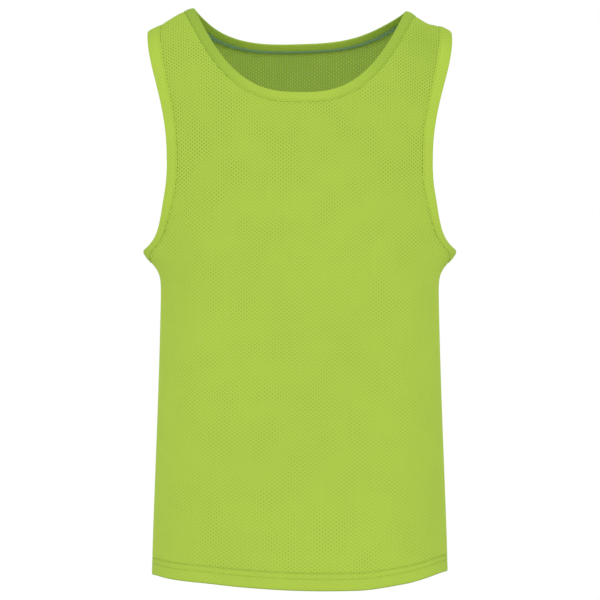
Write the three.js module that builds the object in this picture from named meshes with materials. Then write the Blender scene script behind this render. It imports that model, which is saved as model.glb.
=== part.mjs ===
// A mesh training bib, filled out as it is worn, with nobody in it. It is a sleeveless pull-on
// top of six cut pieces: a front and a back panel joined at the shoulders and sides, a folded
// binding round the neck and one round each armhole, and a turned-up hem on each panel.
// Millimetres, +Z up. The front faces -Y, and +X is the wearer's left. The origin lies midway
// between the shoulders, level with the undersides of the straps that rest on them.
//
// The cloth is described by two lengths on its surface. "across" runs from the middle of a panel
// to its side, and "run" runs from the top of the shoulder down a panel, negative on the front
// and positive on the back. A "fall" is a height measured down from the neck point.
import * as THREE from "three";

const CLOTH_COLOUR = 0xaece4b;
const BINDING_COLOUR = 0xa4c447;

// Thicknesses, bands and seams.
const WALL = 1.5;
const HEM_WALL = 2.6;
const HEM_DEPTH = 20;
const NECK_BAND = 13.5;
const ARMHOLE_BAND = 16;
const BINDING_PROUD = 0.8;
const BINDING_WALL = 3;
const SEAM_GAP = 0.3;

// Falls of the main levels.
const STRAP_FALL = 12.5;
const CHEST_FALL = 190;
const UNDERARM_FALL = 298;
const HEM_FALL = 699;

// The neck opening, at the folded edge of its binding: half its width, how far the front and the
// back hang down, how square each curve is, and how much of the band's width is height there.
const NECK_HALF_WIDTH = 130;
const NECK = {
  front: { drop: 112.7, power: 2.7, steep: 0.92 },
  back: { drop: 32.3, power: 3.1, steep: 0.68 },
};

// The armholes, at the folded edge of their bindings: half-widths at the shoulder and the chest.
const SHOULDER_OUT = 188;
const CHEST_OUT = { front: 160.7, back: 165 };
const SCOOP_FALL = { front: 190, back: 178 };
const SCOOP_SKEW = 1.2;

// Shoulder slope: it starts at the neck point and fades out down the strap.
const SLOPE = 0.5;
const SLOPE_START = 134;
const SLOPE_EASE = 6;
const SLOPE_RUN = 230;

// The side seam below each armhole stands out from the body.
const FLARE = 21.5;
const FLARE_FROM = 0.6;
const FLARE_ABOVE = 75;
const FLARE_BELOW = 20.5;

// Height gained per millimetre sideways: over the front, and at the neck of the back.
const LEAN_FRONT = -0.014;
const LEAN_BACK = 0.031;
const LEAN_HEIGHT = 280;
const LEAN_BLEND = 60;

// How far the hem lifts, by share of the half-girth from the wearer's right side to the left.
const HEM_LIFT = [
  { share: -1, front: 0, back: 0 },
  { share: -0.78, front: 5.5, back: 5 },
  { share: -0.52, front: 6, back: 6 },
  { share: -0.28, front: 3, back: 3 },
  { share: 0, front: 0, back: 1 },
  { share: 0.28, front: -1, back: 2 },
  { share: 0.5, front: 3.5, back: 6 },
  { share: 0.78, front: 9.5, back: 7 },
  { share: 1, front: 4.5, back: 4.5 },
];
const HEM_LIFT_HEIGHT = 90;

// Half-width of the body, from the level of the chest down.
const SIDES = [
  { fall: 0, out: 172 },
  { fall: 300, out: 172 },
  { fall: 345, out: 172.2 },
  { fall: 420, out: 173.8 },
  { fall: 495, out: 176.2 },
  { fall: 570, out: 179 },
  { fall: 642, out: 181.6 },
  { fall: HEM_FALL, out: 183.2 },
];

// Level sections, from the shoulder down each panel. depth is how far the middle of the panel
// stands from the plane of the side seams, corner the radius that turns it into the side, and
// spread what the section is wider than the body, where it opens out into the strap.
const RIDGE = { fall: 0, depth: 0, spread: 60, corner: 0 };
const FRONT = [
  { fall: 2.5, depth: 12, spread: 56, corner: 8 },
  { fall: 9, depth: 25, spread: 51, corner: 16 },
  { fall: 22, depth: 40, spread: 46, corner: 25 },
  { fall: 40, depth: 54, spread: 42, corner: 32 },
  { fall: 66, depth: 69, spread: 38, corner: 38 },
  { fall: 115, depth: 90, spread: 35, corner: 42 },
  { fall: 152, depth: 101, spread: 33, corner: 46 },
  { fall: CHEST_FALL, depth: 109, spread: 29, corner: 54 },
  { fall: 225, depth: 112, spread: 21, corner: 67 },
  { fall: 260, depth: 113, spread: 10, corner: 85 },
  { fall: 300, depth: 112, spread: 0, corner: 101 },
  { fall: 370, depth: 109, spread: 0, corner: 102 },
  { fall: 460, depth: 109, spread: 0, corner: 101 },
  { fall: 560, depth: 113, spread: 0, corner: 104 },
  { fall: 640, depth: 117, spread: 0, corner: 107 },
  { fall: HEM_FALL, depth: 119, spread: 0, corner: 108 },
];
const BACK = [
  { fall: 2.5, depth: 12, spread: 56, corner: 8 },
  { fall: 8.5, depth: 26, spread: 51, corner: 17 },
  { fall: 18, depth: 43, spread: 46, corner: 28 },
  { fall: 33, depth: 61, spread: 42, corner: 37 },
  { fall: 60, depth: 78, spread: 38, corner: 44 },
  { fall: 102, depth: 93, spread: 35, corner: 46 },
  { fall: 145, depth: 103, spread: 33, corner: 48 },
  { fall: CHEST_FALL, depth: 108, spread: 28, corner: 55 },
  { fall: 225, depth: 108, spread: 20, corner: 66 },
  { fall: 260, depth: 107, spread: 10, corner: 80 },
  { fall: 300, depth: 104, spread: 0, corner: 93 },
  { fall: 370, depth: 97, spread: 0, corner: 89 },
  { fall: 450, depth: 94, spread: 0, corner: 87 },
  { fall: 560, depth: 101, spread: 0, corner: 93 },
  { fall: 640, depth: 106, spread: 0, corner: 97 },
  { fall: HEM_FALL, depth: 108, spread: 0, corner: 98 },
];

// Soft folds, each a straight ridge (or, with a negative height, a trough) that fades out at its
// ends. across and fall place its two ends, on each panel's left and right alike.
const FOLDS = [
  { panel: "front", across: 18, fall: 130, toAcross: 22, toFall: 430, wide: 13, height: 1.2 },
  { panel: "front", across: 150, fall: 225, toAcross: 60, toFall: 330, wide: 15, height: -1.4 },
  { panel: "front", across: 165, fall: 340, toAcross: 95, toFall: 470, wide: 20, height: 1.8 },
  { panel: "front", across: 120, fall: 455, toAcross: 70, toFall: 650, wide: 24, height: -2.2 },
  { panel: "front", across: 178, fall: 480, toAcross: 150, toFall: 690, wide: 20, height: 2.4 },
  { panel: "back", across: 12, fall: 150, toAcross: 16, toFall: 420, wide: 16, height: -1.8 },
  { panel: "back", across: 130, fall: 240, toAcross: 55, toFall: 400, wide: 18, height: 2.0 },
  { panel: "back", across: 60, fall: 430, toAcross: 48, toFall: 690, wide: 20, height: 2.6 },
  { panel: "back", across: 125, fall: 400, toAcross: 118, toFall: 690, wide: 22, height: -2.6 },
];

// A fold fades out where the cloth comes this near to the plane of the side seams.
const FOLD_FADE = 40;

// Limits of a level section's shape, and the step used to find the cloth's direction.
const LEAST_DEPTH = 0.5;
const MOST_CORNER = 0.9;
const NORMAL_STEP = 0.5;

// Steps of the panels' grids. The hem's wall thickens within HEM_STEP.
const STRAP_COLUMNS = 3;
const NECK_COLUMNS = 26;
const STRAP_ROWS = 9;
const UNDERARM_ROWS = 10;
const BODY_ROWS = 12;
const STRAP_ROW_SKEW = 1.25;
const HEM_STEP = 0.4;

// A smooth curve through points that never overshoots them.
function smoothCurve(xs, ys) {
  const last = xs.length - 1;
  const step = xs.slice(1).map((x, i) => x - xs[i]);
  const rise = step.map((h, i) => (ys[i + 1] - ys[i]) / h);
  const slope = xs.map((_, i) => {
    if (i === 0) return rise[0];
    if (i === last) return rise[last - 1];
    const mean = (rise[i - 1] * step[i] + rise[i] * step[i - 1]) / (step[i - 1] + step[i]);
    const least = Math.min(Math.abs(rise[i - 1]), Math.abs(rise[i]), Math.abs(mean) / 2);
    return (Math.sign(rise[i - 1]) + Math.sign(rise[i])) * least;
  });
  return (x) => {
    let i = 0;
    while (i < last - 1 && x > xs[i + 1]) i += 1;
    const h = step[i];
    const t = THREE.MathUtils.clamp((x - xs[i]) / h, -0.2, 1.2);
    const a = (slope[i] + slope[i + 1] - 2 * rise[i]) * h;
    const b = (3 * rise[i] - 2 * slope[i] - slope[i + 1]) * h;
    return ys[i] + t * (slope[i] * h + t * (b + t * a));
  };
}

function ease(t) {
  const c = THREE.MathUtils.clamp(t, 0, 1);
  return c * c * (3 - 2 * c);
}

// The sections in one row, from the front hem over the shoulder to the back hem.
const sections = [
  ...FRONT.map((s) => ({ ...s, depth: -s.depth })).reverse(),
  RIDGE,
  ...BACK,
];
const runs = [0];
for (let i = 1; i < sections.length; i += 1) {
  const fall = sections[i].fall - sections[i - 1].fall;
  const depth = sections[i].depth - sections[i - 1].depth;
  runs.push(runs[i - 1] + Math.hypot(fall, depth));
}
const ridgeRun = runs[FRONT.length];
const stations = runs.map((run) => run - ridgeRun);
const column = (name) => smoothCurve(stations, sections.map((s) => s[name]));
const fallAt = column("fall");
const depthAt = column("depth");
const spreadAt = column("spread");
const cornerAt = column("corner");
const sideOut = smoothCurve(SIDES.map((s) => s.fall), SIDES.map((s) => s.out));
const liftShares = HEM_LIFT.map((h) => h.share);
const hemLift = {
  front: smoothCurve(liftShares, HEM_LIFT.map((h) => h.front)),
  back: smoothCurve(liftShares, HEM_LIFT.map((h) => h.back)),
};

// The run at which a panel reaches a fall: sign is -1 on the front and 1 on the back.
function runAt(sign, fall) {
  let near = 0;
  let far = sign < 0 ? -stations[0] : stations[stations.length - 1];
  for (let i = 0; i < 40; i += 1) {
    const middle = (near + far) / 2;
    if (fallAt(sign * middle) < fall) near = middle;
    else far = middle;
  }
  return (near + far) / 2;
}

// A level section is a three-centred oval: a wide arc across the panel and a corner arc.
function ovalAt(run) {
  const depth = Math.max(Math.abs(depthAt(run)), LEAST_DEPTH);
  const corner = Math.min(cornerAt(run), MOST_CORNER * depth);
  const width = sideOut(fallAt(run)) + spreadAt(run);
  const turn = 2 * Math.atan((depth - corner) / (width - corner));
  const broad = corner + (width - corner) / Math.sin(turn);
  const girth = broad * turn + corner * (Math.PI / 2 - turn);
  return { depth, corner, turn, broad, girth };
}

function alongOval(oval, across) {
  const { depth, corner, turn, broad } = oval;
  const wide = broad * turn;
  const s = Math.abs(across);
  const flat = s <= wide;
  const angle = flat ? s / broad : turn + (s - wide) / corner;
  const out = flat
    ? broad * Math.sin(angle)
    : (broad - corner) * Math.sin(turn) + corner * Math.sin(angle);
  const forward = flat ? depth - broad * (1 - Math.cos(angle)) : corner * Math.cos(angle);
  return { out: Math.sign(across) * out, forward };
}

function acrossAt(run, out) {
  const { corner, turn, broad } = ovalAt(run);
  const wideOut = broad * Math.sin(turn);
  if (Math.abs(out) <= wideOut) return broad * Math.asin(out / broad);
  const sine = (Math.abs(out) - (broad - corner) * Math.sin(turn)) / corner;
  return Math.sign(out) * (broad * turn + corner * (Math.asin(Math.min(1, sine)) - turn));
}

function slopeDrop(out) {
  const past = Math.abs(out) - SLOPE_START;
  if (past < -SLOPE_EASE) return 0;
  return SLOPE * (past > SLOPE_EASE ? past : (past + SLOPE_EASE) ** 2 / (4 * SLOPE_EASE));
}

function flareAt(fall, share) {
  const above = UNDERARM_FALL - fall;
  const fade =
    above > 0
      ? Math.max(0, 1 - above / FLARE_ABOVE) ** 3
      : Math.exp(-((above / FLARE_BELOW) ** 2));
  return FLARE * fade * ease((share - FLARE_FROM) / (1 - FLARE_FROM));
}

function foldHeight(panel, across, fall) {
  let height = 0;
  for (const f of FOLDS) {
    if (f.panel !== panel) continue;
    const dx = f.toAcross - f.across;
    const dz = f.toFall - f.fall;
    const long = Math.hypot(dx, dz);
    const px = Math.abs(across) - f.across;
    const pz = fall - f.fall;
    const along = (px * dx + pz * dz) / long ** 2;
    const aside = (px * dz - pz * dx) / long;
    if (along > 0 && along < 1)
      height += f.height * Math.sin(Math.PI * along) ** 2 * Math.exp(-((aside / f.wide) ** 2));
  }
  return height;
}

// The cloth's outer surface.
function cloth(across, run) {
  const fall = fallAt(run);
  const oval = ovalAt(run);
  const { out, forward } = alongOval(oval, across);
  const share = THREE.MathUtils.clamp(across / oval.girth, -1, 1);
  const side = run < 0 ? -1 : 1;
  const panel = run < 0 ? "front" : "back";
  const tilt = ease(1 - Math.abs(run) / SLOPE_RUN);
  const lift = hemLift[panel](share) * Math.exp(-(((HEM_FALL - fall) / HEM_LIFT_HEIGHT) ** 2));
  const behind = run > 0 ? ease(run / LEAN_BLEND) : 0;
  const lean = THREE.MathUtils.lerp(LEAN_FRONT, LEAN_BACK, behind) * ease(1 - fall / LEAN_HEIGHT);
  const fold = foldHeight(panel, across, fall) * ease(forward / FOLD_FADE);
  const x = out + Math.sign(across) * flareAt(fall, Math.abs(share));
  const y = side * (forward + fold);
  const z = STRAP_FALL - fall - tilt * slopeDrop(out) + lift + lean * x;
  return new THREE.Vector3(x, y, z);
}

// A point that stands off the cloth's outer surface, inwards where the height is negative.
function offCloth(across, run, height) {
  const along = cloth(across + NORMAL_STEP, run).sub(cloth(across - NORMAL_STEP, run));
  const onward = cloth(across, run + NORMAL_STEP).sub(cloth(across, run - NORMAL_STEP));
  const normal = along.cross(onward).normalize();
  return cloth(across, run).addScaledVector(normal, height);
}

// Where an armhole's edge lies on a panel. inset moves it from the folded edge into the panel.
// step runs from 0 at the shoulder to 1 at the chest, and on to 2 at the underarm.
function armholeEdge(sign, step, inset) {
  const name = sign < 0 ? "front" : "back";
  const scoop = runAt(sign, SCOOP_FALL[name]);
  if (step <= 1) {
    const run = sign * scoop * step;
    const part = (1 + Math.cos(Math.PI * step ** SCOOP_SKEW)) / 2;
    const out = THREE.MathUtils.lerp(CHEST_OUT[name], SHOULDER_OUT, part);
    return { across: acrossAt(run, out) - inset, run };
  }
  const chest = acrossAt(sign * scoop, CHEST_OUT[name]) - inset;
  const underarm = runAt(sign, UNDERARM_FALL) + inset;
  const angle = ((step - 1) * Math.PI) / 2;
  const run = sign * (scoop + (underarm - scoop) * Math.sin(angle));
  const girth = ovalAt(run).girth;
  return { across: girth - (girth - chest) * Math.cos(angle), run };
}

// How far the neck's edge falls at a share of its half-width, inset from the folded edge.
function neckFall(sign, share, inset) {
  const { drop, power, steep } = sign < 0 ? NECK.front : NECK.back;
  return (drop + inset * steep) * Math.max(0, 1 - Math.abs(share) ** power);
}

// Where the neck's edge lies. share runs from -1 to 1 across the opening.
function neckEdge(sign, share, inset) {
  const run = sign * runAt(sign, neckFall(sign, share, inset));
  return { across: acrossAt(run, share * (NECK_HALF_WIDTH + inset)), run };
}

function solid(name, colour, points, triangles) {
  const geometry = new THREE.BufferGeometry();
  geometry.setAttribute(
    "position",
    new THREE.Float32BufferAttribute(points.flatMap((p) => p.toArray()), 3),
  );
  let volume = 0;
  for (const [a, b, c] of triangles)
    volume += points[a].dot(new THREE.Vector3().crossVectors(points[b], points[c]));
  const outward = volume > 0 ? triangles : triangles.map(([a, b, c]) => [a, c, b]);
  geometry.setIndex(outward.flat());
  geometry.computeVertexNormals();
  const material = new THREE.MeshStandardMaterial({ color: colour, roughness: 0.85, metalness: 0 });
  const mesh = new THREE.Mesh(geometry, material);
  mesh.name = name;
  return mesh;
}

// Two triangles for each cell of a grid of points that is so many columns wide.
function gridTriangles(rows, columns, index) {
  const triangles = [];
  for (let r = 0; r < rows - 1; r += 1)
    for (let c = 0; c < columns - 1; c += 1) {
      const [a, b] = [index(r, c), index(r, c + 1)];
      const [d, e] = [index(r + 1, c), index(r + 1, c + 1)];
      triangles.push([a, b, e], [a, e, d]);
    }
  return triangles;
}

// The levels of a panel's rows: steps of the armhole's edge, then runs below the underarm.
const armholeSteps = [
  ...Array.from({ length: STRAP_ROWS }, (_, i) => (i / STRAP_ROWS) ** STRAP_ROW_SKEW),
  ...Array.from({ length: UNDERARM_ROWS + 1 }, (_, i) => 1 + i / UNDERARM_ROWS),
];
const panelInset = ARMHOLE_BAND + SEAM_GAP;
const neckInset = NECK_BAND + SEAM_GAP;

function panelRows(sign) {
  const armhole = armholeSteps.map((step) => ({ step, ...armholeEdge(sign, step, panelInset) }));
  const underarm = Math.abs(armhole[armhole.length - 1].run);
  const hem = sign < 0 ? -stations[0] : stations[stations.length - 1];
  const body = Array.from({ length: BODY_ROWS }, (_, i) => {
    const share = (i + 1) / BODY_ROWS;
    return { run: sign * (underarm + (hem - HEM_DEPTH - underarm) * share) };
  });
  const turned = [HEM_STEP, HEM_DEPTH / 2, HEM_DEPTH].map((d) => ({
    run: sign * (hem - HEM_DEPTH + d),
    hem: true,
  }));
  return { rows: [...armhole, ...body, ...turned], underarm };
}

// Shares of a panel's width, with a column just at each corner of the neck.
function panelColumns() {
  const corner = (NECK_HALF_WIDTH + neckInset) / (SHOULDER_OUT - panelInset);
  const strap = Array.from(
    { length: STRAP_COLUMNS },
    (_, i) => 1 - ((1 - corner) * i) / STRAP_COLUMNS,
  );
  const turns = Array.from(
    { length: NECK_COLUMNS + 1 },
    (_, i) => Math.sin(Math.PI * (i / NECK_COLUMNS - 0.5)),
  );
  return { strap, turns, corner };
}

function panel(name, sign) {
  const { rows, underarm } = panelRows(sign);
  const { strap, turns, corner } = panelColumns();
  const edges = rows.filter((r) => r.step !== undefined);
  const edgeCurve = smoothCurve(edges.map((r) => Math.abs(r.run)), edges.map((r) => r.across));
  const edgeAcross = (run) => {
    const girth = ovalAt(run).girth - SEAM_GAP / 2;
    return Math.abs(run) >= underarm ? girth : Math.min(girth, edgeCurve(Math.abs(run)));
  };
  const columns = [
    ...strap.map((share) => ({ top: 0, from: -share, to: -share })),
    ...turns.map((turn) => {
      const { across, run } = neckEdge(sign, turn, neckInset);
      return { top: Math.abs(run), from: across / edgeAcross(run), to: corner * turn };
    }),
    ...strap.slice().reverse().map((share) => ({ top: 0, from: share, to: share })),
  ];
  const grid = rows.map((row) =>
    columns.map(({ top, from, to }) => {
      const down = Math.abs(row.run);
      const part = Math.min(1, down / underarm);
      const reach = down < underarm ? THREE.MathUtils.lerp(top, underarm, part) : down;
      const run = sign * Math.max(reach, SEAM_GAP / 2);
      const across = THREE.MathUtils.lerp(from, to, part) * edgeAcross(run);
      return { across, run, hem: row.hem };
    }),
  );
  const flat = grid.flat();
  const count = columns.length;
  const outer = flat.map((g) => offCloth(g.across, g.run, 0));
  const inner = flat.map((g) => offCloth(g.across, g.run, g.hem ? -HEM_WALL : -WALL));
  const at = (layer) => (r, c) => layer * flat.length + r * count + c;
  const last = rows.length - 1;
  const turned = (triangles) => triangles.map(([a, b, c]) => [a, c, b]);
  const rim = [
    { walk: columns.map((_, c) => c), onward: sign > 0 },
    { walk: rows.map((_, r) => r * count + count - 1), onward: sign > 0 },
    { walk: columns.map((_, c) => (last + 1) * count - 1 - c), onward: true },
    { walk: rows.map((_, r) => (last - r) * count), onward: sign < 0 },
  ].flatMap(({ walk, onward }) => {
    const line = onward ? walk : walk.slice().reverse();
    const strip = gridTriangles(2, line.length, (layer, i) => layer * flat.length + line[i]);
    return onward ? turned(strip) : strip;
  });
  return solid(name, CLOTH_COLOUR, [...outer, ...inner], [
    ...gridTriangles(rows.length, count, at(0)),
    ...turned(gridTriangles(rows.length, count, at(1))),
    ...rim,
  ]);
}

// The section of a folded binding. share runs from the fold, 0, to the seam, 1.
const BINDING_SECTION = [
  { share: 1, height: BINDING_PROUD },
  { share: 0.5, height: BINDING_PROUD },
  { share: 0.12, height: BINDING_PROUD - 0.1 },
  { share: 0.02, height: BINDING_PROUD - 0.7 },
  { share: 0.02, height: BINDING_PROUD - BINDING_WALL + 0.7 },
  { share: 0.12, height: BINDING_PROUD - BINDING_WALL + 0.1 },
  { share: 0.5, height: BINDING_PROUD - BINDING_WALL },
  { share: 1, height: BINDING_PROUD - BINDING_WALL },
];

// A closed ring: each place round it gives the fold's and the seam's points on the cloth.
function binding(name, places) {
  const points = places.flatMap(({ fold, seam }) =>
    BINDING_SECTION.map(({ share, height }) =>
      offCloth(
        THREE.MathUtils.lerp(fold.across, seam.across, share),
        THREE.MathUtils.lerp(fold.run, seam.run, share),
        height,
      ),
    ),
  );
  const wide = BINDING_SECTION.length;
  const index = (r, c) => (r % places.length) * wide + (c % wide);
  return solid(name, BINDING_COLOUR, points, gridTriangles(places.length + 1, wide + 1, index));
}

function armholeBinding(name, wearerSide) {
  const place = (sign, step) => {
    const mirrored = (edge) => ({ across: wearerSide * edge.across, run: edge.run });
    return {
      fold: mirrored(armholeEdge(sign, step, 0)),
      seam: mirrored(armholeEdge(sign, step, ARMHOLE_BAND)),
    };
  };
  const down = armholeSteps.map((step) => place(-1, step));
  const up = armholeSteps.slice(1, -1).reverse().map((step) => place(1, step));
  return binding(name, [...down, ...up]);
}

function neckBinding(name) {
  const { turns } = panelColumns();
  const place = (sign, share) => ({
    fold: neckEdge(sign, share, 0),
    seam: neckEdge(sign, share, NECK_BAND),
  });
  const front = turns.map((share) => place(-1, share));
  const back = turns.slice(1, -1).reverse().map((share) => place(1, share));
  return binding(name, [...front, ...back]);
}

const bib = new THREE.Group();
bib.add(
  panel("front_panel", -1),
  panel("back_panel", 1),
  neckBinding("neck_binding"),
  armholeBinding("armhole_binding_right", -1),
  armholeBinding("armhole_binding_left", 1),
);
export default bib;
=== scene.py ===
# A mesh training bib, filled out as it is worn, with nobody in it: a front and a back panel of
# holed mesh, folded bindings round the neck and the armholes, a turned-up hem, and its sewing.
import math

import bpy
import numpy as np
from mathutils.kdtree import KDTree
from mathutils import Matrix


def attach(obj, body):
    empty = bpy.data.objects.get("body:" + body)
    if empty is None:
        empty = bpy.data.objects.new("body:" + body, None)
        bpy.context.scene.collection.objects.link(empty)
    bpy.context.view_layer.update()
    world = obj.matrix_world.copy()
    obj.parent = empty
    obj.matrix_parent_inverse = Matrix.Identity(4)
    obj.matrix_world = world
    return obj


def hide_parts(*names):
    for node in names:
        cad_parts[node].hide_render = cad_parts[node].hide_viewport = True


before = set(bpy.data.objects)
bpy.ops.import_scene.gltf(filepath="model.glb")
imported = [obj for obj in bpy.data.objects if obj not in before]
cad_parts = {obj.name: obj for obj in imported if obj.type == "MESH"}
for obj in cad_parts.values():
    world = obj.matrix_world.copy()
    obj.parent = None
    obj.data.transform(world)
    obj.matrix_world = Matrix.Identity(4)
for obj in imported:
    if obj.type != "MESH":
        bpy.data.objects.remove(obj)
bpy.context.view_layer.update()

# Sizes are in millimetres, and each mesh is turned into metres when its points are placed.
# "across" runs over a panel from its middle, "run" down it from the shoulder, negative on the
# front, "down" is run without its sign, and a "fall" is a height below the neck point.
METRE = 0.001
FRONT_SIDE = -1
BACK_SIDE = 1

# Bands, and the main falls, as in the solids.
HEM_DEPTH = 20
NECK_BAND = 13.5
ARMHOLE_BAND = 16
STRAP_FALL = 12.5
UNDERARM_FALL = 298
HEM_FALL = 699

# The neck and the armholes, at the folded edges of their bindings.
NECK_HALF_WIDTH = 130
NECK = {
    FRONT_SIDE: {"drop": 112.7, "power": 2.7, "steep": 0.92},
    BACK_SIDE: {"drop": 32.3, "power": 3.1, "steep": 0.68},
}
SHOULDER_OUT = 188
CHEST_OUT = {FRONT_SIDE: 160.7, BACK_SIDE: 165}
SCOOP_FALL = {FRONT_SIDE: 190, BACK_SIDE: 178}
SCOOP_SKEW = 1.2

# Shoulder slope, side seam flare and lean.
SLOPE = 0.5
SLOPE_START = 134
SLOPE_EASE = 6
SLOPE_RUN = 230
FLARE = 21.5
FLARE_FROM = 0.6
FLARE_ABOVE = 75
FLARE_BELOW = 20.5
LEAN_FRONT = -0.014
LEAN_BACK = 0.031
LEAN_HEIGHT = 280
LEAN_BLEND = 60

# Hem lift, by share of the half-girth: share, front, back.
HEM_LIFT = [
    (-1, 0, 0), (-0.78, 5.5, 5), (-0.52, 6, 6), (-0.28, 3, 3), (0, 0, 1),
    (0.28, -1, 2), (0.5, 3.5, 6), (0.78, 9.5, 7), (1, 4.5, 4.5),
]
HEM_LIFT_HEIGHT = 90

# Half-width of the body: fall, out.
SIDES = [
    (0, 172), (300, 172), (345, 172.2), (420, 173.8),
    (495, 176.2), (570, 179), (642, 181.6), (HEM_FALL, 183.2),
]

# Level sections, from the shoulder down each panel: fall, depth, spread, corner.
RIDGE = (0, 0, 60, 0)
SECTIONS = {
    FRONT_SIDE: [
        (2.5, 12, 56, 8), (9, 25, 51, 16), (22, 40, 46, 25), (40, 54, 42, 32),
        (66, 69, 38, 38), (115, 90, 35, 42), (152, 101, 33, 46), (190, 109, 29, 54),
        (225, 112, 21, 67), (260, 113, 10, 85), (300, 112, 0, 101), (370, 109, 0, 102),
        (460, 109, 0, 101), (560, 113, 0, 104), (640, 117, 0, 107), (HEM_FALL, 119, 0, 108),
    ],
    BACK_SIDE: [
        (2.5, 12, 56, 8), (8.5, 26, 51, 17), (18, 43, 46, 28), (33, 61, 42, 37),
        (60, 78, 38, 44), (102, 93, 35, 46), (145, 103, 33, 48), (190, 108, 28, 55),
        (225, 108, 20, 66), (260, 107, 10, 80), (300, 104, 0, 93), (370, 97, 0, 89),
        (450, 94, 0, 87), (560, 101, 0, 93), (640, 106, 0, 97), (HEM_FALL, 108, 0, 98),
    ],
}

# Soft folds on both halves of a panel: across, fall, to across, to fall, wide, height.
FOLDS = {
    FRONT_SIDE: [
        (18, 130, 22, 430, 13, 1.2), (150, 225, 60, 330, 15, -1.4),
        (165, 340, 95, 470, 20, 1.8), (120, 455, 70, 650, 24, -2.2),
        (178, 480, 150, 690, 20, 2.4),
    ],
    BACK_SIDE: [
        (12, 150, 16, 420, 16, -1.8), (130, 240, 55, 400, 18, 2.0),
        (60, 430, 48, 690, 20, 2.6), (125, 400, 118, 690, 22, -2.6),
    ],
}
FOLD_FADE = 40

# Smaller creases of the thin cloth, each on one half: across, fall, to across, to fall, wide,
# height. The signed across says which half.
CREASES = {
    FRONT_SIDE: [
        (-205, 300, -120, 372, 7, -0.9), (-215, 325, -150, 430, 9, 0.8),
        (208, 298, 132, 350, 6, -0.8), (214, 318, 140, 415, 10, 0.9),
        (-150, 60, -128, 190, 7, -0.7), (152, 48, 133, 160, 6, -0.8),
        (-95, 150, -60, 245, 12, 0.7), (90, 160, 48, 262, 10, -0.7),
        (-30, 250, -48, 420, 14, -0.8), (62, 300, 82, 452, 12, 0.8),
        (-110, 520, -98, 690, 11, 1.0), (20, 540, 12, 694, 13, -0.9),
        (128, 560, 136, 695, 10, 0.9), (-200, 560, -206, 694, 9, -0.9),
    ],
    BACK_SIDE: [
        (-200, 305, -110, 365, 8, -1.0), (205, 300, 128, 380, 7, -1.1),
        (-90, 95, -40, 200, 12, 0.9), (84, 90, 52, 210, 10, -0.8),
        (-20, 70, -26, 250, 12, 0.8), (36, 330, 30, 500, 14, -1.0),
        (-150, 500, -160, 694, 11, 1.1), (90, 560, 84, 694, 12, 1.0),
        (190, 470, 200, 690, 10, -1.0),
    ],
}

# Where the seam and the cloth's weight pull the shoulders up or down: out, rise. It fades out
# down the cloth.
SHOULDER_WAVE = [
    (-190, -2.4), (-174, -2.2), (-161, -0.2), (-150, 0.9), (-132, 0), (-100, 0), (100, 0),
    (134, 0), (148, -1.6), (157, -2.4), (168, 0.2), (178, 2.5), (190, 2.2),
]
SHOULDER_WAVE_RUN = 26

# Limits of a level section, the step that finds the cloth's direction, how far a smooth curve may
# run past its ends, how often a search halves its span, how many points stand for an edge, and
# how the panels meet at the shoulder.
LEAST_DEPTH = 0.5
MOST_CORNER = 0.9
NORMAL_STEP = 0.5
CURVE_PAST = 0.2
HALVINGS = 40
EDGE_POINTS = 200
SEAM_POINTS = 300
AREA_POINTS = 800
LINE_POINTS = 1600
SHOULDER_GAP = 0.1
SHOULDER_OVERLAP = 0.3

# The mesh: how far apart the columns and rows of the flat grid are (every other crossing is a
# hole), how near to a crossing counts as on it, in steps, and the dimple round a hole, which is
# bumped and painted dark as shade, from its floor to its rim. Then half the width of the holes,
# from each level down: they are smaller inside the back neck. A few columns and rows beside the
# seams stay solid, and the grid's last points at the shoulder snap to its seam.
COLUMN_STEP = 3.15
ROW_STEP = 2.3
ON_GRID = 0.02
ON_ROW = 0.1
DIMPLE_FLOOR = 0.35
DIMPLE_RIM = 0.95
HOLES_FROM = {
    FRONT_SIDE: [(0, 0.28)],
    BACK_SIDE: [(0, 0.1), (115, 0.15), (145, 0.2), (175, 0.24), (205, 0.28)],
}
HOLES_INSET = {"neck": NECK_BAND - 0.5, "armhole": ARMHOLE_BAND - 1}
SIDE_SOLID_COLUMNS = 2
SHOULDER_SOLID = 4.6
HEM_SOLID_ROWS = {FRONT_SIDE: 18, BACK_SIDE: 0}
SHOULDER_SNAP = 2.1
SHOULDER_CUT_SLOPE = 1.05

# How the cloth lies beside the solids' outer face: all over, in the turned-up hem, under a
# binding, at a side seam, at the rims of the holes and between them, and how much of its raw edge
# goes into a binding.
CLOTH_HEIGHT = -0.3
TURNED_HEIGHT = -1.5
UNDER_BAND_HEIGHT = -0.06
UNDER_BAND_WIDE = 3.5
SIDE_SEAM_HEIGHT = -1.1
SIDE_SEAM_WIDE = 3.2
SIDE_SEAM_FADE = 8
RIM_HEIGHT = -0.1
KNOT_HEIGHT = 0.1
UNDER_BAND = 6.5

# The hem's two rows of stitches, counted in grid rows up from the fold, how deep and how many
# rows wide they sink in, and how they lie over that. Then the puckers that sewing leaves: height,
# length of one, their drift, how far they reach, and where the hem's start. Last, the corners
# where the hem meets the side seams, which lift.
STITCHED_ROWS = (6, 9)
STITCH_SINK = -0.35
STITCH_SINK_ROWS = 0.55
STITCH_OVER = {"outside": 0.2, "inside": -0.3}
STITCH_CLEAR = {"outside": 2, "inside": 4}
PUCKER = 0.22
PUCKER_LENGTH = 11
PUCKER_DRIFT = 37
PUCKER_UNEVEN = 1.7
PUCKER_REACH = 7
HEM_PUCKER_START = 300
CORNER_WIDE = 5
CORNER_HIGH = 3
CORNER_LIFT = 1.6

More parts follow.
